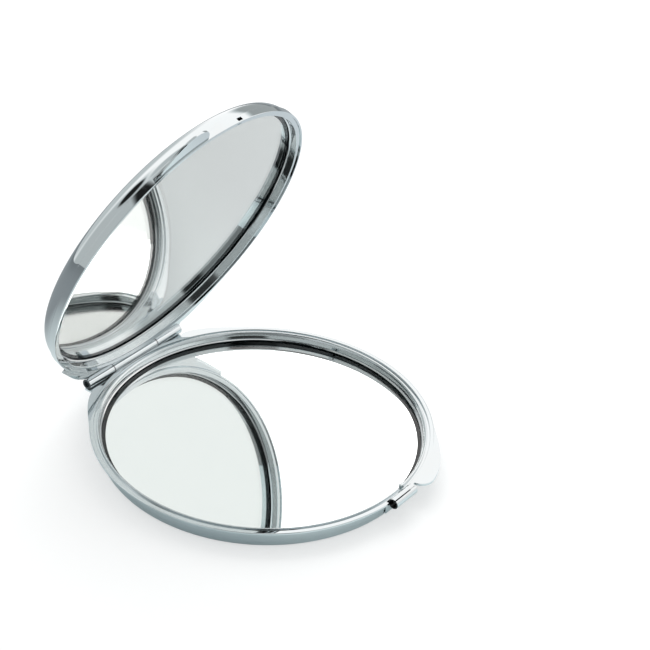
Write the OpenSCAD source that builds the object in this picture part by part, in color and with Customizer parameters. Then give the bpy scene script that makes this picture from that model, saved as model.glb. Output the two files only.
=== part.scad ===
// Round folding pocket mirror: a pressed base and lid, each with its own glass,
// joined by a barrel hinge and held shut by a sprung thumb roll.
// Millimetres. The origin is the middle of the flat underside, +Z up, hinge towards +Y.
// The lid's pieces are drawn closed on the base and then swung open as one.

/* [Case] */
// Radius of the base's wall
rim_r = 31; // [28:0.5:40]
// How far the flat rim stands out past the wall
ledge_w = 1.05; // [0.9:0.05:1.4]
// Thickness of the board under the base's glass
liner_t = 1; // [0.8:0.05:1.4]
// Depth of the groove that takes the edge of the lid's skirt
groove_h = 0.25; // [0.15:0.05:0.3]
// Thickness of the base frame's plate
plate_t = 0.5; // [0.45:0.05:0.6]
// Thickness of the pressed sheet
sheet_t = 0.4; // [0.3:0.05:0.5]
// How far the base's wall curls in towards the underside
base_curl = 1.5; // [1.2:0.1:1.8]

/* [Lid] */
// Height of the lid's straight skirt
skirt_h = 1.5; // [1.3:0.1:1.7]
// Step from the skirt in to the domed wall
skirt_step = 0.3; // [0.1:0.05:0.35]
// How far the lid's wall curls in towards its top
lid_curl = 1.9; // [1.2:0.1:2.4]
// Width of the bare border round the face plate
face_border = 0.6; // [0.3:0.1:2]
// Thickness of the face plate
face_t = 0.3; // [0.2:0.05:0.5]
// Opening angle of the lid as it stands
lid_open = 68.5; // [0:1:125]

/* [Mirrors] */
// Thickness of each glass
glass_t = 1; // [0.8:0.1:1.4]
// Depth of the base's glass under the rim
base_recess = 1.8; // [1.6:0.05:2]
// Depth of the lid's glass under the edge of the skirt
lid_recess = 2.05; // [1.8:0.05:2.4]
// Thickness of the safety film behind each glass
film_t = 0.1; // [0.05:0.05:0.15]
// Thickness of the adhesive pad behind the base's film
pad_t = 0.2; // [0.1:0.05:0.25]
// Thickness of the adhesive pad behind the lid's film
lid_pad_t = 0.9; // [0.6:0.05:1.1]
// Width of the bezel that holds each glass
bezel_w = 0.33; // [0.25:0.01:0.45]
// Height of the bezel over the glass
bezel_h = 0.4; // [0.2:0.05:0.5]

/* [Hinge] */
// Length of the whole barrel
barrel_l = 26; // [20:0.5:30]
// Share of the barrel that the base's knuckle takes
middle_share = 0.46; // [0.36:0.02:0.56]
// Outside diameter of the barrel
barrel_d = 2; // [1.7:0.05:2.1]
// Distance from the base's wall to the hinge axis
hinge_out = 1.55; // [1.55:0.05:2]
// Diameter of the pin
pin_d = 1.1; // [0.8:0.05:1.2]
// How far each end of the pin is set back in the barrel
pin_inset = 0.9; // [0.2:0.1:1.2]

/* [Clasp] */
// Length of the thumb roll
roll_l = 6; // [5.8:0.2:8]
// Outside diameter of the thumb roll
roll_d = 2; // [1.7:0.05:2.1]
// Sheet thickness of the roll and its spring
clasp_t = 0.25; // [0.2:0.01:0.3]
// Distance from the base's wall to the middle of the roll
roll_out = 1.5; // [1.5:0.05:1.8]
// Travel of the roll when it is pressed in
roll_travel = 0.2; // [0.15:0.01:0.2]
// Direction of the roll's seam, up from level
seam_angle = 64; // [40:1:85]
// Sideways place of the hook
hook_x = 2.1; // [1:0.05:2.1]
// Width of the hook
hook_w = 1; // [0.8:0.1:1.6]

/* [Ears] */
// Reach past the rim of the two front ears, one on the base and one on the lid
front_reach = 2.55; // [1:0.05:2.8]
// Reach past the rim of the rear ears
rear_reach = 1.3; // [0.8:0.1:2]

/* [Hidden] */
$fn = 128;
overrun = 1;

// Clearances
skirt_gap = 0.15;
shut_gap = 0.05;
knuckle_gap = 0.1;
pin_gap = 0.02;
seat_gap = 0.02;
edge_gap = 0.05;
side_gap = 0.15;
run_gap = 0.1;

// Levels of the base, from the underside up
base_h = sheet_t + liner_t + pad_t + film_t + glass_t + base_recess;
groove_z = base_h - groove_h;
plate_z = base_h - plate_t;
base_glass_z = base_h - base_recess;
base_back_z = base_glass_z - glass_t;
base_pad_z = base_back_z - film_t - pad_t;

// Radii of the base
ledge_r = rim_r + ledge_w;
floor_r = rim_r - base_curl;
rim_w = 0.9;
opening_r = rim_r - rim_w;
glass_r = opening_r - seat_gap;
film_inset = 1.1;
pad_inset = 1.6;
liner_inset = 0.3;
frame_wall = 0.3;
groove_gap = 0.1;
round_r = 0.12;
arc_steps = 9;
round_steps = 3;

// Levels of the closed lid
skirt_z = groove_z + shut_gap;
face_z = base_h + shut_gap;
dome_z = skirt_z + skirt_h;
lid_glass_z = skirt_z + lid_recess;
lid_back_z = lid_glass_z + glass_t;
lid_top_z = lid_back_z + film_t + lid_pad_t + sheet_t;

// Radii of the lid
skirt_r = rim_r + skirt_gap;
skirt_in_r = skirt_r - sheet_t;
groove_r = skirt_r + groove_gap;
lip_r = skirt_in_r - shut_gap;
dome_r = skirt_r - skirt_step;
lid_flat_r = dome_r - lid_curl;
lid_opening_r = opening_r - bezel_w + shut_gap;
lid_glass_r = inside_wall(lid_flat_r, lid_curl, (lid_back_z - dome_z) / (lid_top_z - sheet_t - dome_z));
face_r = lid_flat_r - face_border;
face_glue_t = 0.05;
face_glue_inset = 0.4;
face_bevel = 0.2;

// Hinge
hinge_y = rim_r + hinge_out;
hinge_z = base_h;
middle_l = barrel_l * middle_share;
outer_l = (barrel_l - middle_l) / 2 - knuckle_gap;
outer_x = (barrel_l - outer_l) / 2;
leaf_t = 0.4;
leaf_z = base_h + shut_gap;
leaf_in = 1.8;
under_z = hinge_z - barrel_d / 2 - run_gap - leaf_t;
under_y = hinge_y + barrel_d / 4;
notch_y = hinge_y - barrel_d / 2 - run_gap;

// Clasp
roll_y = -rim_r - roll_out;
roll_z = base_h;
foot_z = roll_z - roll_d / 2;
riser_y = -rim_r;
window_w = roll_l + 2 * side_gap;
pocket_w = window_w + 2 * run_gap;
window_y = -floor_r - base_curl / 3;
window_z = base_pad_z - edge_gap;
pocket_y = roll_y + roll_d / 2 + roll_travel + run_gap;
seam_w = 0.22;
hook_t = 0.25;
hook_y = -skirt_in_r + roll_travel;
hook_rise = 0.65;
hook_top = base_h + hook_rise;
nose_out = 0.24;
nose_z = skirt_z + 0.36;
nose_h = 0.2;
slot_w = hook_w + 2 * run_gap;
slot_y = hook_y + hook_t + roll_travel + edge_gap;
stub_w = 5.6;
tongue_w = 4.4;
tongue_t = 0.15;
tongue_z = window_z + edge_gap;
tongue_in = 5.4;
tongue_end = riser_y + tongue_in;
spring_r = 5;
spring_t = 0.25;
spring_turn = 62;
spring_h = base_back_z - film_t - edge_gap - sheet_t;
spring_y = tongue_end + roll_travel + edge_gap;
relief_y = spring_y + spring_r - (spring_r - spring_t) * cos(spring_turn / 2) + run_gap;
relief_w = 2 * spring_r * sin(spring_turn / 2) + 2 * run_gap;

// Ears: angles from the case's front to back line. The front ones start beside the
// thumb roll's pocket, and the rear ones inside the ends of the hinge.
front_gap = 1.4;
front_near = asin((pocket_w / 2 + front_gap) / ledge_r);
front_peak = front_near + 4.6;
front_far = front_near + 35;
lid_near = front_near + 3.2;
lid_peak = lid_near + 6;
lid_far = lid_near + 23;
rear_lap = 1.83;
rear_near = asin((barrel_l / 2 - rear_lap) / ledge_r);
rear_peak = rear_near + 4.2;
rear_far = rear_near + 25;
ear_steps = 24;

// Inner radius of a curled wall at a share of its height from its wide end
function inside_wall(r, across, share) = r + (across - sheet_t) * sqrt(1 - share * share) - edge_gap;

// Points of an elliptical quarter, from angle a0 (0 is straight down) round to a1 (90 is level)
function curl(r, z, across, up, a0 = 0, a1 = 90) = [
  for (i = [0 : arc_steps]) let (a = a0 + (a1 - a0) * i / arc_steps) [r + across * sin(a), z - up * cos(a)]
];

// Points of a rounded corner, from angle a0 to a1 about a centre
function corner(y, z, r, a0, a1) = [
  for (i = [0 : round_steps]) let (a = a0 + (a1 - a0) * i / round_steps) [y + r * cos(a), z + r * sin(a)]
];

// Radius of an ear's edge: a rounded corner up to its peak, then a long run back to the ledge
function ear_edge(a, near, peak, far, reach) = ledge_r + reach * (a < peak
  ? sqrt(1 - pow((peak - a) / (peak - near), 2))
  : (1 + cos(180 * (a - peak) / (far - peak))) / 2);

function ear_points(near, peak, far, reach) = [
  for (i = [0 : ear_steps]) let (
    s = i / ear_steps,
    a = near + (far - near) * s * s,
    r = ear_edge(a, near, peak, far, reach)
  ) [r * sin(a), r * cos(a)]
];

// A disc whose upper or lower edge is bevelled
module disc(r, z, t, bevel = 0) {
  rotate_extrude()
    polygon([[0, z], [r, z], [r, z + t - bevel], [r - bevel, z + t], [0, z + t]]);
}

// A block named by its middle in X and its lowest and highest Y and Z
module block(x, w, y0, y1, z0, z1) {
  translate([x - w / 2, y0, z0])
    cube([w, y1 - y0, z1 - z0]);
}

module ear(near, peak, far, reach, z, t) {
  translate([0, 0, z])
    linear_extrude(t)
      polygon(concat([[0, 0]], ear_points(near, peak, far, reach)));
}

module rear_ears(z, t) {
  both_sides()
    ear(rear_near, rear_peak, rear_far, rear_reach, z, t);
}

// The base's ear beside the thumb roll, to its right
module front_ear(z, t) {
  mirror([0, 1, 0])
    ear(front_near, front_peak, front_far, front_reach, z, t);
}

// The lid's own ear, to the roll's left and a little further back
module lid_ear(z, t) {
  rotate(180)
    ear(lid_near, lid_peak, lid_far, front_reach, z, t);
}

module both_sides() {
  children();
  mirror([1, 0, 0])
    children();
}

module at_hinge() {
  translate([0, hinge_y, hinge_z])
    children();
}

// Swings what is drawn closed to the angle at which the lid stands
module swung_open() {
  at_hinge()
    rotate([-lid_open, 0, 0])
      translate([0, -hinge_y, -hinge_z])
        children();
}

// Pressed cup with a flat underside, its wall curled in, and the clasp's window
module base_shell() {
  color("lightsteelblue")
    difference() {
      rotate_extrude()
        polygon(concat(
          [[0, 0]],
          curl(floor_r, plate_z, base_curl, plate_z),
          [[rim_r - sheet_t, plate_z]],
          curl(floor_r, plate_z, base_curl - sheet_t, plate_z - sheet_t, 90, 0),
          [[0, sheet_t]]
        ));
      block(0, window_w, -ledge_r - overrun, window_y, window_z, plate_z + overrun);
    }
}

// Stiff board that carries the glass, with a pocket for the clasp's tongue and spring
module base_liner() {
  color("burlywood")
    difference() {
      disc(floor_r - liner_inset, sheet_t, base_pad_z - sheet_t);
      clasp_pocket(tongue_z - run_gap);
    }
}

module clasp_pocket(z) {
  block(0, tongue_w + 2 * run_gap, -ledge_r, spring_y, z, base_back_z);
  block(0, relief_w, spring_y - run_gap, relief_y, 0, base_back_z);
}

module base_mirror_pad() {
  color("whitesmoke")
    difference() {
      disc(glass_r - pad_inset, base_pad_z, pad_t);
      clasp_pocket(base_pad_z - overrun);
    }
}

module base_safety_film() {
  color("dimgray")
    disc(glass_r - film_inset, base_back_z - film_t, film_t);
}

module base_mirror() {
  color("white")
    disc(glass_r, base_back_z, glass_t);
}

// Thin ring pressed in over the edge of the glass, its inner face sloped
module bezel(r, z, up) {
  rotate_extrude()
    polygon([
      [r - bezel_w, z],
      [r, z],
      [r, z + up * bezel_h],
      [r - bezel_w / 3, z + up * bezel_h],
      [r - bezel_w, z + up * bezel_h / 3]
    ]);
}

module base_bezel() {
  color("gainsboro")
    bezel(opening_r - seat_gap, base_glass_z, 1);
}

// Pressed frame: inner wall, lip, groove for the lid's skirt, flat rim and three ears
module base_frame() {
  color("silver")
    difference() {
      union() {
        difference() {
          union() {
            rear_ears(plate_z, plate_t);
            front_ear(plate_z, plate_t);
          }
          cylinder(r = groove_r + round_r, h = base_h + overrun);
        }
        rotate_extrude()
          polygon(concat(
            [[opening_r, base_glass_z + seat_gap], [opening_r + frame_wall, base_glass_z + seat_gap]],
            [[opening_r + frame_wall, plate_z], [ledge_r - round_r, plate_z]],
            [[ledge_r, plate_z + round_r]],
            corner(ledge_r - round_r, base_h - round_r, round_r, 0, 90),
            corner(groove_r + round_r, base_h - round_r, round_r, 90, 180),
            [[groove_r, groove_z], [lip_r, groove_z]],
            corner(lip_r - round_r, base_h - round_r, round_r, 0, 90),
            corner(opening_r + round_r, base_h - round_r, round_r, 90, 180)
          ));
      }
      block(0, pocket_w, -ledge_r - overrun, pocket_y, plate_z - overrun, base_h + overrun);
      block(0, barrel_l + 2 * side_gap, notch_y, ledge_r + rear_reach, plate_z - overrun, base_h + overrun);
      hook_slot();
    }
}

// The way through both frames for the hook
module hook_slot() {
  block(hook_x, slot_w, -skirt_in_r, slot_y, plate_z - overrun, hook_top + run_gap);
}

// Middle knuckle on a leaf brazed under the rim, as long as the whole barrel
module base_hinge_leaf() {
  color("darkgray")
    difference() {
      union() {
        at_hinge()
          rotate([0, 90, 0])
            cylinder(d = barrel_d, h = middle_l, center = true);
        block(0, middle_l, rim_r - leaf_in, hinge_y, under_z, plate_z);
        block(0, barrel_l, rim_r / 2, under_y, under_z, under_z + leaf_t);
      }
      cylinder(r = rim_r, h = plate_z);
      at_hinge()
        rotate([0, 90, 0])
          cylinder(d = pin_d, h = middle_l + overrun, center = true);
    }
}

module hinge_pin() {
  color("slategray")
    at_hinge()
      rotate([0, 90, 0])
        cylinder(d = pin_d, h = barrel_l - 2 * pin_inset, center = true);
}

// Bowed leaf that pushes the clasp's tongue back out
module clasp_spring() {
  color("gray")
    translate([0, spring_y + spring_r, sheet_t])
      rotate([0, 0, -90 - spring_turn / 2])
        rotate_extrude(angle = spring_turn)
          translate([spring_r - spring_t, 0])
            square([spring_t, spring_h]);
}

// Thumb roll: a strip rolled into an open tube, with its seam on top
module clasp_roll() {
  color("silver")
    difference() {
      union() {
        translate([0, roll_y, roll_z])
          rotate([0, 90, 0])
            cylinder(d = roll_d, h = roll_l, center = true);
        block(0, stub_w, roll_y, riser_y, foot_z, foot_z + clasp_t);
      }
      translate([0, roll_y, roll_z]) {
        rotate([0, 90, 0])
          cylinder(d = roll_d - 2 * clasp_t, h = roll_l + overrun, center = true);
        rotate([-seam_angle, 0, 0])
          block(0, roll_l + overrun, -roll_d, 0, -seam_w / 2, seam_w / 2);
      }
    }
}

// Hook that catches the lid's skirt, with the tongue that the spring bears on
module clasp_hook() {
  color("lightgray")
    union() {
      translate([hook_x - hook_w / 2, 0, 0])
        rotate([90, 0, 90])
          linear_extrude(hook_w)
            polygon([
              [riser_y, foot_z],
              [hook_y + hook_t, foot_z],
              [hook_y + hook_t, hook_top],
              [hook_y + hook_t / 2, hook_top],
              [hook_y - nose_out, nose_z + nose_h],
              [hook_y - nose_out, nose_z],
              [hook_y, nose_z - nose_h / 2],
              [hook_y, foot_z + clasp_t],
              [riser_y, foot_z + clasp_t]
            ]);
      block(0, stub_w, riser_y, riser_y + hook_t, tongue_z, foot_z + clasp_t);
      block(0, tongue_w, riser_y, tongue_end, tongue_z, tongue_z + tongue_t);
    }
}

module lid_cup() {
  rotate_extrude()
    polygon(concat(
      [[skirt_in_r, skirt_z], [skirt_r - round_r, skirt_z]],
      corner(skirt_r - round_r, skirt_z + round_r, round_r, -90, 0),
      corner(skirt_r - round_r, dome_z - round_r, round_r, 0, 90),
      curl(lid_flat_r, dome_z, lid_curl, lid_top_z - dome_z, 90, 180),
      [[0, lid_top_z], [0, lid_top_z - sheet_t]],
      curl(lid_flat_r, dome_z, lid_curl - sheet_t, lid_top_z - dome_z - sheet_t, 180, 90),
      [[skirt_in_r, dome_z - sheet_t]]
    ));
}

// Pressed lid: straight skirt with an ear, a small step, then a wall curled in to the flat top
module lid_shell() {
  color("lightsteelblue")
    swung_open()
      difference() {
        union() {
          difference() {
            lid_ear(leaf_z, leaf_t);
            cylinder(r = skirt_r - sheet_t / 2, h = lid_top_z);
          }
          lid_cup();
        }
        block(hook_x, slot_w, -skirt_r - overrun, -floor_r, nose_z - run_gap, hook_top + run_gap);
      }
}

module lid_mirror_pad() {
  color("whitesmoke")
    swung_open()
      disc(lid_glass_r - pad_inset, lid_back_z + film_t, lid_pad_t);
}

module lid_safety_film() {
  color("dimgray")
    swung_open()
      disc(lid_glass_r - film_inset, lid_back_z, film_t);
}

module lid_mirror() {
  color("white")
    swung_open()
      disc(lid_glass_r, lid_glass_z, glass_t);
}

module lid_bezel() {
  color("gainsboro")
    swung_open()
      bezel(lid_opening_r - seat_gap, lid_glass_z, -1);
}

// Ring inside the skirt that faces the base's rim, with its inner wall down to the glass
module lid_frame() {
  color("silver")
    swung_open()
      difference() {
        rotate_extrude()
          polygon(concat(
            [[skirt_in_r - seat_gap, face_z], [skirt_in_r - seat_gap, face_z + frame_wall]],
            [[lid_opening_r + frame_wall, face_z + frame_wall]],
            [[lid_opening_r + frame_wall, lid_glass_z - seat_gap], [lid_opening_r, lid_glass_z - seat_gap]],
            corner(lid_opening_r + round_r, face_z + round_r, round_r, 180, 270)
          ));
        hook_slot();
      }
}

// Two outer knuckles on an eared leaf brazed round the skirt
module lid_hinge_leaf() {
  color("darkgray")
    swung_open()
      difference() {
        union() {
          at_hinge()
            both_sides()
              translate([outer_x, 0, 0])
                rotate([0, 90, 0])
                  cylinder(d = barrel_d, h = outer_l, center = true);
          both_sides()
            block(outer_x, outer_l, rim_r / 2, hinge_y, leaf_z, leaf_z + leaf_t);
          block(0, barrel_l, rim_r / 2, notch_y, leaf_z, leaf_z + leaf_t);
          rear_ears(leaf_z, leaf_t);
        }
        cylinder(r = skirt_r, h = lid_top_z);
        at_hinge()
          rotate([0, 90, 0])
            cylinder(d = pin_d + 2 * pin_gap, h = barrel_l + overrun, center = true);
      }
}

module lid_face_adhesive() {
  color("wheat")
    swung_open()
      disc(face_r - face_glue_inset, lid_top_z, face_glue_t);
}

// Polished disc on the lid's top, left bare
module lid_face_plate() {
  color("gainsboro")
    swung_open()
      disc(face_r, lid_top_z + face_glue_t, face_t, face_bevel);
}

base_shell();
base_liner();
base_mirror_pad();
base_safety_film();
base_mirror();
base_bezel();
base_frame();
base_hinge_leaf();
hinge_pin();
clasp_spring();
clasp_roll();
clasp_hook();
lid_shell();
lid_mirror_pad();
lid_safety_film();
lid_mirror();
lid_bezel();
lid_frame();
lid_hinge_leaf();
lid_face_adhesive();
lid_face_plate();
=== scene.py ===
# Open compact mirror on a pale table: bright chrome case, a silvered glass in each half.
# Lengths in the dictionaries are in mm and angles in degrees, unless a note says otherwise.
import math

import bmesh
import bpy
from mathutils import Matrix, Vector


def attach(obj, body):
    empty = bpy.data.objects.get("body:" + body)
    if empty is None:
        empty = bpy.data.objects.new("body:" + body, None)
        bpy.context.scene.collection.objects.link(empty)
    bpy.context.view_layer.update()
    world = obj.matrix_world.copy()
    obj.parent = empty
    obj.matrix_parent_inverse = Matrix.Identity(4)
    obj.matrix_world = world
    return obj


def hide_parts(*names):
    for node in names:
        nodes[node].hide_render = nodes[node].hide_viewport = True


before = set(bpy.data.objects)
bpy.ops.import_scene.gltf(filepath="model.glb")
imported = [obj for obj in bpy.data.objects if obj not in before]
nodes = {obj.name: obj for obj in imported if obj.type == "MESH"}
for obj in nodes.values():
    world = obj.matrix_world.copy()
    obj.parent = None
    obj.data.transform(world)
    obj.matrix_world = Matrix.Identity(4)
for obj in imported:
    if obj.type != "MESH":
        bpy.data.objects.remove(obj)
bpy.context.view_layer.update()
scene = bpy.context.scene
mm = 0.001
tiny = 1e-7     # metres, under which two points are one

# solved from the rims, the hinge, the clasp and the reflections in both glasses
cameraSpec = {
    "azimuth": -53.94,          # round from the clasp's front
    "elevation": 33.59,         # over the table
    "roll": -3.68,
    "lens": 109.17,
    "sensor": 36,
    "distance": 366.8,
    "aim": (-11.63, -18.24),    # where the lens axis passes, right and up from the base's middle
    "aimHeight": 4.5,
    "clip": 10,
}


def placeCamera(spec):
    az, el, roll = (math.radians(spec[k]) for k in ("azimuth", "elevation", "roll"))
    back = Vector((math.sin(az) * math.cos(el), -math.cos(az) * math.cos(el), math.sin(el)))
    right = Vector((math.cos(az), math.sin(az), 0))
    up = back.cross(right)
    axisX = right * math.cos(roll) - up * math.sin(roll)
    axisY = right * math.sin(roll) + up * math.cos(roll)
    across, along = spec["aim"]
    place = back * spec["distance"] - axisX * across - axisY * along + Vector((0, 0, spec["aimHeight"]))
    turn = Matrix((axisX, axisY, back)).transposed()
    camera = bpy.data.objects.new("camera", bpy.data.cameras.new("camera"))
    camera.data.lens = spec["lens"]
    camera.data.sensor_width = spec["sensor"]
    camera.data.clip_start = spec["clip"] * mm
    camera.matrix_world = Matrix.Translation(place * mm) @ turn.to_4x4()
    scene.collection.objects.link(camera)
    scene.camera = camera


placeCamera(cameraSpec)
scene.view_settings.view_transform = "Standard"
print("camera placed")

# the case's own measures, as the part's source has them
caseSpec = {
    "rimR": 32.05, "grooveR": 31.25, "lipR": 30.7, "openingR": 30.1,
    "height": 4.5, "plateZ": 4.0, "glassZ": 2.7,
    "hingeY": 32.55, "hingeZ": 4.5, "lidOpen": 68.5,
}
lidTurn = Matrix.Rotation(math.radians(-caseSpec["lidOpen"]), 4, "X")
hingePoint = Vector((0, caseSpec["hingeY"], caseSpec["hingeZ"])) * mm


# an empty node group with its named sockets
def groupShell(name, inputs, outputs):
    group = bpy.data.node_groups.new(name, "ShaderNodeTree")
    for label, kind, value in inputs:
        socket = group.interface.new_socket(name=label, in_out="INPUT", socket_type=kind)
        if value is not None:
            socket.default_value = value
    for label, kind in outputs:
        group.interface.new_socket(name=label, in_out="OUTPUT", socket_type=kind)
    return group, group.nodes.new("NodeGroupInput"), group.nodes.new("NodeGroupOutput")


# a link where the source is a socket, or else a plain value
def feed(tree, node, socket, source):
    target = node.inputs[socket]
    if hasattr(source, "links"):
        tree.links.new(source, target)
    else:
        target.default_value = source


def maths(tree, operation, a, b=None, c=None, clamp=False):
    node = tree.nodes.new("ShaderNodeMath")
    node.operation = operation
    node.use_clamp = clamp
    for i, value in enumerate((a, b, c)):
        if value is not None:
            feed(tree, node, i, value)
    return node.outputs[0]


def noise(tree, vector, scale, detail=2.0, rough=0.5, stretch=None):
    if stretch:
        mapping = tree.nodes.new("ShaderNodeMapping")
        feed(tree, mapping, "Vector", vector)
        mapping.inputs["Scale"].default_value = stretch
        vector = mapping.outputs[0]
    node = tree.nodes.new("ShaderNodeTexNoise")
    feed(tree, node, "Vector", vector)
    feed(tree, node, "Scale", scale)
    node.inputs["Detail"].default_value = detail
    node.inputs["Roughness"].default_value = rough
    return node.outputs[0]


def mapRange(tree, value, low, high, toLow=0.0, toHigh=1.0, smooth=False):
    node = tree.nodes.new("ShaderNodeMapRange")
    if smooth:
        node.interpolation_type = "SMOOTHSTEP"
    sockets = ("Value", "From Min", "From Max", "To Min", "To Max")
    for socket, item in zip(sockets, (value, low, high, toLow, toHigh)):
        feed(tree, node, socket, item)
    return node.outputs[0]


def mixValue(tree, share, a, b):
    node = tree.nodes.new("ShaderNodeMix")
    for socket, item in ((0, share), (2, a), (3, b)):
        feed(tree, node, socket, item)
    return node.outputs[0]


def mixColour(tree, share, a, b):
    node = tree.nodes.new("ShaderNodeMix")
    node.data_type = "RGBA"
    for socket, item in ((0, share), (6, a), (7, b)):
        feed(tree, node, socket, item)
    return node.outputs[2]


# how near a direction or a place lies to a fixed one
def measured(tree, operation, vector, fixed):
    node = tree.nodes.new("ShaderNodeVectorMath")
    node.operation = operation
    feed(tree, node, 0, vector)
    node.inputs[1].default_value = fixed
    return node.outputs["Value"]


scratchSpec = {
    "lines": ((0.3, 0.03), (1.4, 0.05), (2.4, 0.04)),   # turn in radians, stretch
    "detail": 1.0, "rough": 0.4, "sparse": (0.66, 0.74),
    "patchScale": 160.0, "patch": (0.45, 0.65),
}


# hairlines of polishing and handling: a sparse mask and a height
def makeScratchGroup(spec):
    tree, start, end = groupShell(
        "hairlineScratches",
        [("Vector", "NodeSocketVector", None), ("Scale", "NodeSocketFloat", 900.0),
         ("Amount", "NodeSocketFloat", 0.5)],
        [("Mask", "NodeSocketFloat"), ("Height", "NodeSocketFloat")],
    )
    total = None
    for turn, stretch in spec["lines"]:
        mapping = tree.nodes.new("ShaderNodeMapping")
        feed(tree, mapping, "Vector", start.outputs["Vector"])
        mapping.inputs["Rotation"].default_value = (0, 0, turn)
        line = noise(tree, mapping.outputs[0], start.outputs["Scale"], spec["detail"], spec["rough"],
                     (1, stretch, 1))
        line = mapRange(tree, line, *spec["sparse"])
        total = line if total is None else maths(tree, "MAXIMUM", total, line)
    patch = mapRange(tree, noise(tree, start.outputs["Vector"], spec["patchScale"]), *spec["patch"])
    mask = maths(tree, "MULTIPLY", total, patch)
    mask = maths(tree, "MULTIPLY", mask, start.outputs["Amount"], clamp=True)
    feed(tree, end, "Mask", mask)
    feed(tree, end, "Height", maths(tree, "MULTIPLY", mask, -1.0))
    return tree


hazeSpec = {
    "detail": 3.0, "rough": 0.6, "broad": (0.48, 0.75),
    "wipeScale": 1400.0, "wipeDetail": 2.0, "wipeRough": 0.7, "wipeStretch": (1, 0.25, 1),
    "wipe": (0.3, 0.7, 0.5, 1.0),
}


# thin haze left by fingers and by wiping: a soft mask
def makeHazeGroup(spec):
    tree, start, end = groupShell(
        "fingerHaze",
        [("Vector", "NodeSocketVector", None), ("Scale", "NodeSocketFloat", 90.0),
         ("Amount", "NodeSocketFloat", 0.5)],
        [("Mask", "NodeSocketFloat")],
    )
    broad = noise(tree, start.outputs["Vector"], start.outputs["Scale"], spec["detail"], spec["rough"])
    broad = mapRange(tree, broad, *spec["broad"], smooth=True)
    wipe = noise(tree, start.outputs["Vector"], spec["wipeScale"], spec["wipeDetail"], spec["wipeRough"],
                 spec["wipeStretch"])
    mask = maths(tree, "MULTIPLY", broad, mapRange(tree, wipe, *spec["wipe"]))
    feed(tree, end, "Mask", maths(tree, "MULTIPLY", mask, start.outputs["Amount"], clamp=True))
    return tree


grainSpec = {"detail": 5.0, "rough": 0.7, "share": 0.7, "cloudScale": 120.0, "cloudShare": 0.3}


# fibres and pores of board, foam and film: a tone and a height
def makeGrainGroup(spec):
    tree, start, end = groupShell(
        "fibreGrain",
        [("Vector", "NodeSocketVector", None), ("Scale", "NodeSocketFloat", 1500.0),
         ("Stretch", "NodeSocketFloat", 1.0)],
        [("Tone", "NodeSocketFloat"), ("Height", "NodeSocketFloat")],
    )
    ways = tree.nodes.new("ShaderNodeCombineXYZ")
    for socket, item in enumerate((1, start.outputs["Stretch"], 1)):
        feed(tree, ways, socket, item)
    product = tree.nodes.new("ShaderNodeVectorMath")
    product.operation = "MULTIPLY"
    feed(tree, product, 0, start.outputs["Vector"])
    feed(tree, product, 1, ways.outputs[0])
    grain = noise(tree, product.outputs[0], start.outputs["Scale"], spec["detail"], spec["rough"])
    cloud = noise(tree, start.outputs["Vector"], spec["cloudScale"])
    tone = maths(tree, "MULTIPLY", grain, spec["share"])
    feed(tree, end, "Tone", maths(tree, "ADD", tone, maths(tree, "MULTIPLY", cloud, spec["cloudShare"])))
    feed(tree, end, "Height", grain)
    return tree


scratchGroup = makeScratchGroup(scratchSpec)
hazeGroup = makeHazeGroup(hazeSpec)
grainGroup = makeGrainGroup(grainSpec)


def placeGroup(tree, group, **values):
    node = tree.nodes.new("ShaderNodeGroup")
    node.node_tree = group
    for socket, value in values.items():
        feed(tree, node, socket, value)
    return node


# Principled and object coordinates, which are laid flat again on the lid's pieces
def startMaterial(name, lid):
    material = bpy.data.materials.new(name)
    material.use_nodes = True
    tree = material.node_tree
    shader = tree.nodes["Principled BSDF"]
    place = tree.nodes.new("ShaderNodeTexCoord").outputs["Object"]
    if lid:
        mapping = tree.nodes.new("ShaderNodeMapping")
        mapping.vector_type = "TEXTURE"
        mapping.inputs["Location"].default_value = hingePoint
        mapping.inputs["Rotation"].default_value = (-math.radians(caseSpec["lidOpen"]), 0, 0)
        feed(tree, mapping, "Vector", place)
        place = mapping.outputs[0]
    return material, tree, shader, place


def fingerHaze(tree, place, spec):
    haze = placeGroup(tree, hazeGroup, Vector=place, Scale=spec["hazeScale"], Amount=spec["haze"])
    return haze.outputs["Mask"]


def bumped(tree, shader, height, strength, depth):
    bump = tree.nodes.new("ShaderNodeBump")
    bump.inputs["Strength"].default_value = strength
    bump.inputs["Distance"].default_value = depth * mm
    feed(tree, bump, "Height", height)
    feed(tree, shader, "Normal", bump.outputs[0])


chromeSpec = {
    "colour": (0.60, 0.645, 0.66, 1), "rough": 0.02,
    "hazeColour": (0.60, 0.61, 0.60, 1), "hazeScale": 90.0, "haze": 0.35, "hazeRough": 0.08,
    "scratchScale": 900.0, "scratches": 0.5, "scratchRough": 0.12,
    "brushed": 0.0, "brushScale": 2600.0, "brushDetail": 3.0, "brushRough": 0.6,
    "brushStretch": (0.03, 1, 0.03), "brushHeight": 0.6,
    "bump": 0.12, "bumpDepth": 0.01,
}
trimSpec = dict(chromeSpec, colour=(0.64, 0.66, 0.67, 1), rough=0.06)
satinSpec = dict(chromeSpec, rough=0.16, brushed=0.10)


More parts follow.
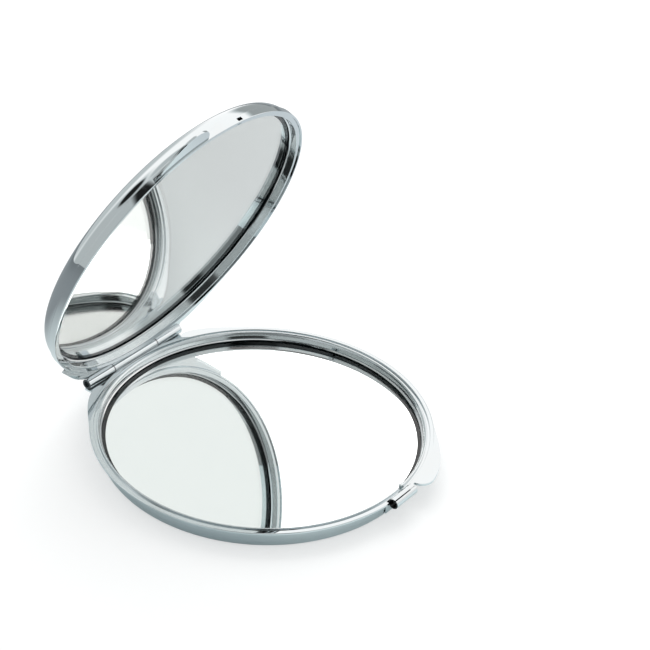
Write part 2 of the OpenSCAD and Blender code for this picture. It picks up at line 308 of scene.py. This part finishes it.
def chromeMaterial(name, spec, lid=False):
    material, tree, shader, place = startMaterial(name, lid)
    scratches = placeGroup(tree, scratchGroup, Vector=place, Scale=spec["scratchScale"],
                           Amount=spec["scratches"])
    haze = fingerHaze(tree, place, spec)
    shader.inputs["Metallic"].default_value = 1
    feed(tree, shader, "Base Color", mixColour(tree, haze, spec["colour"], spec["hazeColour"]))
    wear = maths(tree, "MULTIPLY_ADD", scratches.outputs["Mask"], spec["scratchRough"], spec["rough"])
    wear = maths(tree, "MULTIPLY_ADD", haze, spec["hazeRough"], wear)
    height = scratches.outputs["Height"]
    if spec["brushed"]:
        grain = noise(tree, place, spec["brushScale"], spec["brushDetail"], spec["brushRough"],
                      spec["brushStretch"])
        wear = maths(tree, "MULTIPLY_ADD", grain, spec["brushed"], wear)
        height = maths(tree, "MULTIPLY_ADD", grain, spec["brushHeight"], height)
    feed(tree, shader, "Roughness", wear)
    bumped(tree, shader, height, spec["bump"], spec["bumpDepth"])
    return material


glassSpec = {
    "colour": (0.975, 0.985, 0.98, 1), "ior": 1.5,
    "hazeScale": 70.0, "haze": 0.5, "hazeRough": 0.02,
}


def glassMaterial(name, spec, lid=False):
    material, tree, shader, place = startMaterial(name, lid)
    haze = fingerHaze(tree, place, spec)
    shader.inputs["Base Color"].default_value = spec["colour"]
    shader.inputs["Metallic"].default_value = 0
    shader.inputs["Transmission Weight"].default_value = 1
    shader.inputs["IOR"].default_value = spec["ior"]
    feed(tree, shader, "Roughness", maths(tree, "MULTIPLY", haze, spec["hazeRough"]))
    return material


silverSpec = {"dull": (0.935, 0.95, 0.945, 1), "bright": (0.95, 0.96, 0.955, 1), "scale": 300.0}


def silverMaterial(name, spec, lid=False):
    material, tree, shader, place = startMaterial(name, lid)
    tone = placeGroup(tree, grainGroup, Vector=place, Scale=spec["scale"]).outputs["Tone"]
    shader.inputs["Metallic"].default_value = 1
    feed(tree, shader, "Base Color", mixColour(tree, tone, spec["dull"], spec["bright"]))
    shader.inputs["Roughness"].default_value = 0.0
    return material


foamSpec = {"dark": (0.82, 0.82, 0.80, 1), "light": (0.93, 0.93, 0.91, 1), "scale": 2600.0,
            "rough": 0.9, "bump": 0.6}
filmSpec = {"dark": (0.24, 0.25, 0.27, 1), "light": (0.34, 0.35, 0.37, 1), "scale": 700.0,
            "rough": 0.45, "bump": 0.15}
grainedSpecs = {
    # painted shade: near-black for the dark ring where the trims meet the glasses
    "paintedDarkRing": {"dark": (0.008, 0.014, 0.016, 1), "light": (0.018, 0.028, 0.031, 1), "scale": 2200.0,
                   "rough": 0.6, "bump": 0.3, "metal": 1.0},
    "greyBoard": {"dark": (0.42, 0.38, 0.33, 1), "light": (0.60, 0.56, 0.50, 1), "scale": 1200.0,
                  "stretch": 0.2, "rough": 0.9, "bump": 0.5},
    "foamTapeBase": foamSpec,
    "foamTapeLid": dict(foamSpec, lid=True),
    "backingFilmBase": filmSpec,
    "backingFilmLid": dict(filmSpec, lid=True),
    "transferTape": {"dark": (0.78, 0.70, 0.50, 1), "light": (0.88, 0.82, 0.66, 1), "scale": 900.0,
                     "rough": 0.35, "bump": 0.2, "lid": True},
    "springSteel": {"dark": (0.42, 0.43, 0.45, 1), "light": (0.58, 0.59, 0.61, 1), "scale": 1800.0,
                    "stretch": 0.05, "rough": 0.28, "bump": 0.2, "metal": 1.0},
    # near-black steel, used for the hinge pin, and as painted shade inside the roll and on the knuckles'
    # ends
    "darkSteelAndShade": {"dark": (0.035, 0.038, 0.042, 1), "light": (0.08, 0.085, 0.09, 1), "scale": 1800.0,
                  "stretch": 0.05, "rough": 0.35, "bump": 0.2, "metal": 1.0},
}
grainTones = {"from": (0.2, 0.8), "roughSwing": 0.08, "bumpDepth": 0.05}


def grainedMaterial(name, dark, light, scale, rough, bump, stretch=1.0, lid=False, metal=0.0):
    material, tree, shader, place = startMaterial(name, lid)
    grain = placeGroup(tree, grainGroup, Vector=place, Scale=scale, Stretch=stretch)
    tone, swing = grain.outputs["Tone"], grainTones["roughSwing"]
    shader.inputs["Metallic"].default_value = metal
    feed(tree, shader, "Base Color", mixColour(tree, tone, dark, light))
    feed(tree, shader, "Roughness", mapRange(tree, tone, *grainTones["from"], rough - swing, rough + swing))
    bumped(tree, shader, grain.outputs["Height"], bump, grainTones["bumpDepth"])
    return material


chromeBase = chromeMaterial("chromeBase", chromeSpec)
chromeLid = chromeMaterial("chromeLid", chromeSpec, lid=True)
chromeTrimBase = chromeMaterial("chromeTrimBase", trimSpec)
chromeTrimLid = chromeMaterial("chromeTrimLid", trimSpec, lid=True)
satinFace = chromeMaterial("satinFace", satinSpec, lid=True)
clearGlassBase = glassMaterial("clearGlassBase", glassSpec)
clearGlassLid = glassMaterial("clearGlassLid", glassSpec, lid=True)
silverBase = silverMaterial("silverBase", silverSpec)
silverLid = silverMaterial("silverLid", silverSpec, lid=True)
grained = {name: grainedMaterial(name, **spec) for name, spec in grainedSpecs.items()}
print("materials made")

smoothSpec = {"spin": 216, "arc": 20, "corner": 4, "lip": 9, "sharp": 32}


# a section in mm, as (radius, height), spun all the way round the case's axis
def spun(points, closed=True):
    bm = bmesh.new()
    verts = [bm.verts.new((r * mm, 0, z * mm)) for r, z in points]
    pairs = list(zip(verts, verts[1:])) + ([(verts[-1], verts[0])] if closed else [])
    edges = [bm.edges.new(pair) for pair in pairs]
    bmesh.ops.spin(bm, geom=verts + edges, cent=(0, 0, 0), axis=(0, 0, 1), angle=2 * math.pi,
                   steps=smoothSpec["spin"], use_merge=True)
    bmesh.ops.remove_doubles(bm, verts=bm.verts, dist=tiny)
    bmesh.ops.recalc_face_normals(bm, faces=bm.faces)
    return bm


def bevelSharp(bm, width, segments=2, angle=30, only=None):
    sharp = [e for e in bm.edges if e.is_manifold and abs(e.calc_face_angle(0)) > math.radians(angle)]
    if only:
        sharp = [e for e in sharp if only(e)]
    bmesh.ops.bevel(bm, geom=sharp, offset=width * mm, affect="EDGES", segments=segments, profile=0.5,
                    material=-1, clamp_overlap=True)


def swingOpen(bm):
    bmesh.ops.rotate(bm, verts=bm.verts, cent=hingePoint, matrix=lidTurn.to_3x3())


def block(x, width, y0, y1, z0, z1):
    bm = bmesh.new()
    bmesh.ops.create_cube(bm, size=1)
    bmesh.ops.scale(bm, verts=bm.verts, vec=(width * mm, (y1 - y0) * mm, (z1 - z0) * mm))
    bmesh.ops.translate(bm, verts=bm.verts, vec=(x * mm, (y0 + y1) / 2 * mm, (z0 + z1) / 2 * mm))
    return bm


def objectFrom(name, bm):
    mesh = bpy.data.meshes.new(name)
    bm.to_mesh(mesh)
    bm.free()
    piece = bpy.data.objects.new(name, mesh)
    scene.collection.objects.link(piece)
    return piece


# joins other solids on, or cuts them away, and keeps the result as the piece's own mesh
def combine(piece, others, operation):
    for other in others:
        tool = objectFrom("tool", other)
        step = piece.modifiers.new("step", "BOOLEAN")
        step.operation = operation
        step.solver = "EXACT"
        step.object = tool
        depsgraph = bpy.context.evaluated_depsgraph_get()
        result = bpy.data.meshes.new_from_object(piece.evaluated_get(depsgraph))
        piece.modifiers.clear()
        old, toolMesh = piece.data, tool.data
        piece.data = result
        result.name = piece.name
        bpy.data.objects.remove(tool)
        bpy.data.meshes.remove(old)
        bpy.data.meshes.remove(toolMesh)


# turns a piece that was made shut to where the open lid holds it
def swing(piece):
    bm = bmesh.new()
    bm.from_mesh(piece.data)
    swingOpen(bm)
    bm.to_mesh(piece.data)
    bm.free()


def finish(piece, materials, body, node):
    for material in materials:
        piece.data.materials.append(material)
    piece.data.shade_smooth()
    piece.data.set_sharp_from_angle(angle=math.radians(smoothSpec["sharp"]))
    even = piece.modifiers.new("evenNormals", "WEIGHTED_NORMAL")
    even.keep_sharp = True
    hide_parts(node)
    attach(piece, body)


def angles(a0, a1, steps):
    return [math.radians(a0 + (a1 - a0) * i / steps) for i in range(steps + 1)]


# an elliptical quarter, from angle a0 (0 is straight down) round to a1 (90 is level)
def arc(r, z, across, up, a0, a1):
    turns = angles(a0, a1, smoothSpec["arc"])
    return [(r + across * math.sin(a), z - up * math.cos(a)) for a in turns]


# a rounded corner about its own middle
def corner(r, z, radius, a0, a1):
    turns = angles(a0, a1, smoothSpec["corner"])
    return [(r + radius * math.cos(a), z + radius * math.sin(a)) for a in turns]


# a lip rolled over, from its level top in to its upright wall
def rolledLip(r, z, across, up):
    turns = angles(0, 90, smoothSpec["lip"])
    return [(r - across * math.sin(a), z + up * math.cos(a)) for a in turns]


# angles run from the middle of the front or of the back
earSpec = {
    "base": {"near": 8.28, "peak": 12.88, "far": 43.28, "reach": 2.55, "root": 31.45},
    "lid": {"near": 11.48, "peak": 17.48, "far": 34.48, "reach": 2.55, "root": 30.95},
    "rear": {"near": 20.39, "peak": 24.59, "far": 45.39, "reach": 1.3, "root": 31.45},
    "round": 0.14, "segments": 3, "angle": 50, "steps": 40, "clear": 0.02,
}


# a flat ear outside the rim, its edge a short round up to the peak and a long run back
def earPlate(which, side, front, z0, z1):
    near, peak, far, reach, root = (earSpec[which][k] for k in ("near", "peak", "far", "reach", "root"))
    rim, steps = caseSpec["rimR"], earSpec["steps"]
    bm = bmesh.new()
    outer, inner = [], []
    for i in range(steps + 1):
        share = i / steps
        a = near + (far - near) * share * share
        if a < peak:
            r = rim + reach * math.sqrt(max(0, 1 - ((peak - a) / (peak - near)) ** 2))
        else:
            r = rim + reach * (1 + math.cos(math.pi * (a - peak) / (far - peak))) / 2
        across, along = side * math.sin(math.radians(a)) * mm, front * math.cos(math.radians(a)) * mm
        outer.append(bm.verts.new((r * across, r * along, z0 * mm)))
        inner.append(bm.verts.new((root * across, root * along, z0 * mm)))
    face = bm.faces.new(outer + inner[::-1])
    raised = bmesh.ops.extrude_face_region(bm, geom=[face])
    top = [v for v in raised["geom"] if isinstance(v, bmesh.types.BMVert)]
    bmesh.ops.translate(bm, verts=top, vec=(0, 0, (z1 - z0) * mm))
    bmesh.ops.recalc_face_normals(bm, faces=bm.faces)

    def levelRun(edge):
        a, b = (v.co for v in edge.verts)
        clear = (rim + earSpec["clear"]) * mm
        return min(math.hypot(a.x, a.y), math.hypot(b.x, b.y)) > clear and abs(a.z - b.z) < 10 * tiny

    bevelSharp(bm, earSpec["round"], earSpec["segments"], earSpec["angle"], only=levelRun)
    return bm


baseShellSpec = {
    "floorR": 29.5, "curl": 1.5, "wallTop": 4.0, "sheet": 0.4,
    "windowWide": 5.85, "windowY": (-33, -30.0), "windowZ": (1.35, 5),
}


def makeBaseShell(spec):
    top, curl, sheet = spec["wallTop"], spec["curl"], spec["sheet"]
    outer = arc(spec["floorR"], top, curl, top, 0, 90)
    inner = arc(spec["floorR"], top, curl - sheet, top - sheet, 90, 0)
    piece = objectFrom("baseCup", spun([(0, 0)] + outer + inner + [(0, sheet)], closed=False))
    combine(piece, [block(0, spec["windowWide"], *spec["windowY"], *spec["windowZ"])], "DIFFERENCE")
    finish(piece, [chromeBase], "base", "base_shell")


makeBaseShell(baseShellSpec)
print("base cup made")

baseFrameSpec = {
    "wall": 0.3, "footGap": 0.02, "round": 0.14, "edge": 0.06, "grooveZ": 4.12,
    "rollIn": 0.48, "rollDown": 0.75, "earStep": 0.02,
    "cuts": (       # the thumb roll's pocket, the hinge's notch and the hook's slot
        {"x": 0, "width": 6.5, "y0": -34, "y1": -31.2, "z0": 3, "z1": 6},
        {"x": 0, "width": 26.3, "y0": 31.45, "y1": 36, "z0": 3, "z1": 6},
        {"x": 2.1, "width": 1.2, "y0": -30.75, "y1": -30.05, "z0": 3, "z1": 6},
    ),
}


def makeBaseFrame(spec):
    c, k, e, down = caseSpec, spec["round"], spec["edge"], spec["rollDown"]
    foot, wallR = c["glassZ"] + spec["footGap"], c["openingR"] + spec["wall"]
    section = [(c["openingR"], foot), (wallR, foot), (wallR, c["plateZ"])]
    section += corner(c["rimR"] - k, c["plateZ"] + k, k, -90, 0)
    section += corner(c["rimR"] - k, c["height"] - k, k, 0, 90)
    section += corner(c["grooveR"] + e, c["height"] - e, e, 90, 180)
    section += [(c["grooveR"], spec["grooveZ"]), (c["lipR"], spec["grooveZ"])]
    section += corner(c["lipR"] - e, c["height"] - e, e, 0, 90)
    section += rolledLip(c["openingR"] + spec["rollIn"], c["height"] - down, spec["rollIn"], down)
    piece = objectFrom("baseRim", spun(section))
    low, high = c["plateZ"] + spec["earStep"], c["height"] - spec["earStep"]
    ears = [earPlate("rear", side, 1, low, high) for side in (1, -1)]
    combine(piece, ears + [earPlate("base", 1, -1, low, high)], "UNION")
    combine(piece, [block(**cut) for cut in spec["cuts"]], "DIFFERENCE")
    finish(piece, [chromeBase], "base", "base_frame")


makeBaseFrame(baseFrameSpec)
print("base rim made")

# heights are the shut case's; the silver stops short of the ground edge, and the edge and the bare margin
# get painted shade, near-black
glassSpecs = {
    "base": {"radius": 30.08, "silverR": 29.05, "silverZ": 1.72, "clearZ": 2.7, "arris": 0.12, "angle": 60},
    "lid": {"radius": 30.08, "silverR": 28.8, "silverZ": 7.33, "clearZ": 6.35, "arris": 0.12, "angle": 60},
}


def makeGlass(name, node, body, materials):
    spec = glassSpecs[body]
    radius, silverR, silverZ, clearZ = (spec[k] for k in ("radius", "silverR", "silverZ", "clearZ"))
    section = [(0, silverZ), (silverR, silverZ), (radius, silverZ), (radius, clearZ), (0, clearZ)]
    bm = spun(section, closed=False)
    # the back faces past the silver and the ground edge take the near-black painted shade
    for face in bm.faces:
        onBack = [abs(v.co.z - silverZ * mm) < tiny for v in face.verts]
        reach = max(math.hypot(v.co.x, v.co.y) for v in face.verts)
        if all(onBack):
            face.material_index = 1 if reach < silverR * mm + tiny else 2
        else:
            face.material_index = 2 if any(onBack) else 0
    bevelSharp(bm, spec["arris"], angle=spec["angle"],
               only=lambda e: all(abs(v.co.z - clearZ * mm) < tiny for v in e.verts))
    if body == "lid":
        swingOpen(bm)
    finish(objectFrom(name, bm), materials, body, node)


makeGlass("baseGlass", "base_mirror", "base", [clearGlassBase, silverBase, grained["paintedDarkRing"]])
makeGlass("lidGlass", "lid_mirror", "lid", [clearGlassLid, silverLid, grained["paintedDarkRing"]])

# bright on top, with painted shade on its foot, near-black where the trim meets the glass
bezelSpec = {
    "wide": 0.33, "high": 0.4, "edge": 0.035, "angle": 20, "bright": 0.85,
    "base": (30.08, 2.7, 1), "lid": (29.80, 6.35, -1),      # radius, height, which way is up
}


def makeBezel(name, node, body, material):
    radius, z, up = bezelSpec[body]
    w, h = bezelSpec["wide"], bezelSpec["high"] * up
    foot, crown = radius - w, radius - w / 3
    bm = spun([(foot, z), (radius, z), (radius, z + h), (crown, z + h), (foot, z + h / 2)])
    bevelSharp(bm, bezelSpec["edge"], angle=bezelSpec["angle"])
    # the foot inside brightR takes the near-black painted shade
    brightR = (radius - w * bezelSpec["bright"]) * mm
    for face in bm.faces:
        middle = face.calc_center_median()
        face.material_index = 1 if math.hypot(middle.x, middle.y) < brightR else 0
    if body == "lid":
        swingOpen(bm)
    finish(objectFrom(name, bm), [material, grained["paintedDarkRing"]], body, node)


makeBezel("baseTrim", "base_bezel", "base", chromeTrimBase)
makeBezel("lidTrim", "lid_bezel", "lid", chromeTrimLid)
print("glasses and trims made")

# the lid's pieces are made shut and then swung open
lidShellSpec = {
    "skirtR": 31.15, "skirtZ": 4.3, "skirtTop": 5.8, "domeR": 30.85, "curl": 1.9, "top": 8.75,
    "sheet": 0.4, "round": 0.14, "earZ": (4.55, 4.95),
    "slot": {"x": 2.1, "width": 1.2, "y0": -33, "y1": -29.5, "z0": 4.56, "z1": 5.25},
}


def makeLidShell(spec):
    k, sheet, curl = spec["round"], spec["sheet"], spec["curl"]
    skirtR, skirtTop = spec["skirtR"], spec["skirtTop"]
    flat, rise = spec["domeR"] - curl, spec["top"] - skirtTop
    section = [(skirtR - sheet, spec["skirtZ"])]
    section += corner(skirtR - k, spec["skirtZ"] + k, k, -90, 0)
    section += corner(skirtR - k, skirtTop - k, k, 0, 90)
    section += arc(flat, skirtTop, curl, rise, 90, 180)
    section += [(0, spec["top"]), (0, spec["top"] - sheet)]
    section += arc(flat, skirtTop, curl - sheet, rise - sheet, 180, 90)
    section += [(skirtR - sheet, skirtTop - sheet)]
    piece = objectFrom("lidCup", spun(section))
    combine(piece, [earPlate("lid", -1, -1, *spec["earZ"])], "UNION")
    combine(piece, [block(**spec["slot"])], "DIFFERENCE")
    swing(piece)
    finish(piece, [chromeLid], "lid", "lid_shell")


makeLidShell(lidShellSpec)

lidFrameSpec = {
    "outerR": 30.73, "innerR": 29.82, "wall": 0.3, "face": 4.55, "foot": 6.33, "round": 0.14,
    "slot": {"x": 2.1, "width": 1.2, "y0": -30.75, "y1": -30.05, "z0": 3, "z1": 5.25},
}


def makeLidFrame(spec):
    k, wall, face = spec["round"], spec["wall"], spec["face"]
    innerR, outerR = spec["innerR"], spec["outerR"]
    section = [(outerR, face), (outerR, face + wall), (innerR + wall, face + wall),
               (innerR + wall, spec["foot"]), (innerR, spec["foot"])]
    section += corner(innerR + k, face + k, k, 180, 270)
    piece = objectFrom("lidRim", spun(section))
    combine(piece, [block(**spec["slot"])], "DIFFERENCE")
    swing(piece)
    finish(piece, [chromeLid], "lid", "lid_frame")


makeLidFrame(lidFrameSpec)

facePlateSpec = {"radius": 28.35, "low": 8.8, "high": 9.1, "edge": 0.2, "segments": 4, "angle": 60}


def makeFacePlate(spec):
    radius, low, high = spec["radius"], spec["low"], spec["high"]
    middle = (low + high) / 2 * mm
    bm = spun([(0, low), (radius, low), (radius, high), (0, high)], closed=False)
    bevelSharp(bm, spec["edge"], spec["segments"], spec["angle"],
               only=lambda e: all(v.co.z > middle for v in e.verts))
    swingOpen(bm)
    finish(objectFrom("lidFacePlate", bm), [satinFace], "lid", "lid_face_plate")


makeFacePlate(facePlateSpec)
print("lid made")

# hinge and clasp: merged copies of the CAD's own shapes with their edges broken
fittingSpecs = {
    "base_hinge_leaf": ("middleKnuckle", "base", "chrome_plate", chromeBase, 0.13),
    "hinge_pin": ("hingePin", "base", "spring_steel", grained["darkSteelAndShade"], 0.08),
    "clasp_roll": ("thumbRoll", "clasp", "chrome_plate", chromeBase, 0.05),
    "clasp_hook": ("claspHook", "clasp", "chrome_plate", chromeBase, 0.04),
    "clasp_spring": ("bowedSpring", "base", "spring_steel", grained["springSteel"], 0.04),
    "lid_hinge_leaf": ("outerKnuckles", "lid", "chrome_plate", chromeLid, 0.13),
}
mergeSpec = {"apart": 0.001, "flat": 0.4}
# where the painted shade goes: the roll's bore and the knuckles' ends
paintedShadeSpec = {"rollY": -32.5, "rollZ": 4.5, "boreR": 0.93, "knuckleR": 1.05, "sideways": 0.35}


def dressedCopy(node, name, width):
    bm = bmesh.new()
    bm.from_mesh(nodes[node].data)
    bmesh.ops.remove_doubles(bm, verts=bm.verts, dist=mergeSpec["apart"] * mm)
    flat = math.radians(mergeSpec["flat"])
    bmesh.ops.dissolve_limit(bm, angle_limit=flat, verts=bm.verts, edges=bm.edges)
    bevelSharp(bm, width)
    return objectFrom(name, bm)


def insideRoll(middle, normal):
    return math.hypot(middle.y - paintedShadeSpec["rollY"], middle.z - paintedShadeSpec["rollZ"]) < paintedShadeSpec["boreR"]


def knuckleEnd(middle, normal):
    reach = math.hypot(middle.y - caseSpec["hingeY"], middle.z - caseSpec["hingeZ"])
    return reach < paintedShadeSpec["knuckleR"] and abs(normal.x) > paintedShadeSpec["sideways"]


# painted shade: the faces inside the roll and on the knuckles' ends are near-black
paintedShadeFaces = {"clasp_roll": insideRoll, "base_hinge_leaf": knuckleEnd, "lid_hinge_leaf": knuckleEnd}
for node, (name, body, slot, material, edge) in fittingSpecs.items():
    piece = dressedCopy(node, name, edge)
    materials = [material]
    if node in paintedShadeFaces:
        materials.append(grained["darkSteelAndShade"])
        for face in piece.data.polygons:
            if paintedShadeFaces[node](face.center / mm, face.normal):
                face.material_index = 1
    finish(piece, materials, body, node)
print("hinge and clasp made")

# the inner layers keep their CAD shapes
layers = {
    "base_liner": "greyBoard",
    "base_mirror_pad": "foamTapeBase",
    "base_safety_film": "backingFilmBase",
    "lid_mirror_pad": "foamTapeLid",
    "lid_safety_film": "backingFilmLid",
    "lid_face_adhesive": "transferTape",
}
for node, name in layers.items():
    nodes[node].data.materials.clear()
    nodes[node].data.materials.append(grained[name])
print("inner layers dressed")

# a white sweep behind and above, a darker room low down on the camera's side
# a round shape is its direction, its inner and outer half angle, and its level
worldSpec = {
    "away": (0.81, 0.59, 0.0),      # level direction away from the camera
    "sweep": (-0.12, 0.22), "sideLight": 0.70, "backLight": 1.5,
    "overhead": (0.86, 0.95), "skyLight": 1.5,
    "metalShapes": (        # panels at the sides, a scrim overhead, gaps, the camera and its stand
        ((0.93, 0.30, 0.18), 16, 24, 0.50),
        ((0.05, 0.97, 0.20), 24, 40, 0.80),
        ((0.67, -0.74, 0.05), 14, 24, 1.20),
        ((-0.10, -0.02, 0.99), 15, 23, 0.72),
        ((-0.56, -0.10, 0.82), 10, 14, 0.02),
        ((-0.50, 0.36, 0.78), 8, 13, 0.02),
        ((-0.52, -0.57, 0.63), 12, 17, 0.03),
        ((-0.76, -0.62, 0.12), 25, 32, 0.30),
    ),
    "glassRoom": 0.62, "glassBehind": (0.28, 0.45), "glassBack": 1.17,
    "glassSide": ((0.45, -0.68, 0.56), 20, 38, 1.12),
    "glassWall": ((0.67, -0.74, 0.03), 18, 28, 0.99),
    "glassCamera": ((-0.47, -0.60, 0.65), 11, 16, 0.05),
    "plainLight": 0.82,
    "cool": (0.965, 1, 1, 1), "warm": (1, 0.967, 0.955, 1), "warmFrom": (0.8, 1.4),
}


def withShape(tree, way, level, shape):
    centre, inner, outer, shapeLevel = shape
    edges = [math.cos(math.radians(angle)) for angle in (outer, inner)]
    share = measured(tree, "DOT_PRODUCT", way, Vector(centre).normalized())
    return mixValue(tree, mapRange(tree, share, *edges, smooth=True), level, shapeLevel)


def makeWorld(spec):
    world = bpy.data.worlds.new("studio")
    scene.world = world
    world.use_nodes = True
    tree = world.node_tree
    ray = tree.nodes.new("ShaderNodeLightPath").outputs
    way = tree.nodes.new("ShaderNodeTexCoord").outputs["Generated"]
    split = tree.nodes.new("ShaderNodeSeparateXYZ")
    feed(tree, split, 0, way)
    behind = measured(tree, "DOT_PRODUCT", way, Vector(spec["away"]).normalized())
    # what metal sees
    metal = mapRange(tree, behind, *spec["sweep"], spec["sideLight"], spec["backLight"], smooth=True)
    overhead = mapRange(tree, split.outputs[2], *spec["overhead"], smooth=True)
    metal = mixValue(tree, overhead, metal, spec["skyLight"])
    for shape in spec["metalShapes"]:
        metal = withShape(tree, way, metal, shape)
    # what the silvered glasses see
    glass = withShape(tree, way, spec["glassRoom"], spec["glassSide"])
    back = mapRange(tree, behind, *spec["glassBehind"], smooth=True)
    glass = mixValue(tree, back, glass, spec["glassBack"])
    glass = withShape(tree, way, glass, spec["glassWall"])
    glass = withShape(tree, way, glass, spec["glassCamera"])
    # a ray through glass counts as glossy too, so it comes later
    level = mixValue(tree, ray["Is Glossy Ray"], spec["plainLight"], metal)
    level = mixValue(tree, ray["Is Transmission Ray"], level, glass)
    level = mixValue(tree, ray["Is Camera Ray"], level, 1.0)
    tint = mixColour(tree, mapRange(tree, level, *spec["warmFrom"]), spec["cool"], spec["warm"])
    background = tree.nodes["Background"]
    feed(tree, background, "Color", mixColour(tree, ray["Is Camera Ray"], tint, (1, 1, 1, 1)))
    feed(tree, background, "Strength", level)


# colours by what looks at the table, with painted reflections for metal and glass; edges of its zones are
# in metres
floorSpec = {
    "half": 3, "camera": (0.5, 0.5, 0.5, 1), "glow": 0.53,
    "glass": (0.58, 0.58, 0.58, 1), "plain": (0.8, 0.8, 0.8, 1),
    "metal": (0.9765, 1.05, 1.0605, 1),
    "right": (0.03, 0.055), "rightMetal": (0.693, 0.7245, 0.756, 1),
    "shade": (-0.033, -0.006, 0), "shadeEdge": (0.030, 0.010), "shadeMetal": (0.756, 0.8295, 0.8505, 1),
    # painted reflection: behind the case the table turns dark to metal only
    "paintedDarkBehind": (0.025, 0.075), "paintedDarkBehindMetal": (0.33, 0.345, 0.36, 1),
}


def makeFloor(spec):
    bm = bmesh.new()
    bmesh.ops.create_grid(bm, x_segments=1, y_segments=1, size=spec["half"])
    floor = objectFrom("floor", bm)
    material = bpy.data.materials.new("paleTable")
    material.use_nodes = True
    tree = material.node_tree
    tree.nodes.remove(tree.nodes["Principled BSDF"])
    ray = tree.nodes.new("ShaderNodeLightPath").outputs
    place = tree.nodes.new("ShaderNodeTexCoord").outputs["Object"]
    split = tree.nodes.new("ShaderNodeSeparateXYZ")
    feed(tree, split, 0, place)
    # painted reflections: metal sees the table darker on the right, darker in painted shade round the case,
    # and dark behind the case, where the camera sees it white
    right = mapRange(tree, split.outputs[0], *spec["right"], smooth=True)
    apart = measured(tree, "DISTANCE", place, spec["shade"])
    shade = mapRange(tree, apart, *spec["shadeEdge"], smooth=True)
    paintedDarkBehind = mapRange(tree, split.outputs[1], *spec["paintedDarkBehind"], smooth=True)
    metal = mixColour(tree, right, spec["metal"], spec["rightMetal"])
    metal = mixColour(tree, shade, metal, spec["shadeMetal"])
    metal = mixColour(tree, paintedDarkBehind, metal, spec["paintedDarkBehindMetal"])
    colour = mixColour(tree, ray["Is Glossy Ray"], spec["plain"], metal)
    colour = mixColour(tree, ray["Is Transmission Ray"], colour, spec["glass"])
    diffuse = tree.nodes.new("ShaderNodeBsdfDiffuse")
    feed(tree, diffuse, "Color", mixColour(tree, ray["Is Camera Ray"], colour, spec["camera"]))
    glow = tree.nodes.new("ShaderNodeEmission")
    feed(tree, glow, "Strength", maths(tree, "MULTIPLY", ray["Is Camera Ray"], spec["glow"]))
    both = tree.nodes.new("ShaderNodeAddShader")
    feed(tree, both, 0, diffuse.outputs[0])
    feed(tree, both, 1, glow.outputs[0])
    feed(tree, tree.nodes["Material Output"], "Surface", both.outputs[0])
    floor.data.materials.append(material)


softboxSpec = {"place": (0.26, 0.20, 0.42), "size": 0.50, "energy": 1.5}      # metres, watts


def makeSoftbox(spec):
    lamp = bpy.data.objects.new("softbox", bpy.data.lights.new("softbox", "AREA"))
    lamp.data.energy = spec["energy"]
    lamp.data.size = spec["size"]
    lamp.location = spec["place"]
    lamp.rotation_euler = Vector(spec["place"]).to_track_quat("Z", "Y").to_euler()
    lamp.visible_glossy = False
    scene.collection.objects.link(lamp)


makeWorld(worldSpec)
makeFloor(floorSpec)
makeSoftbox(softboxSpec)
print("studio made")
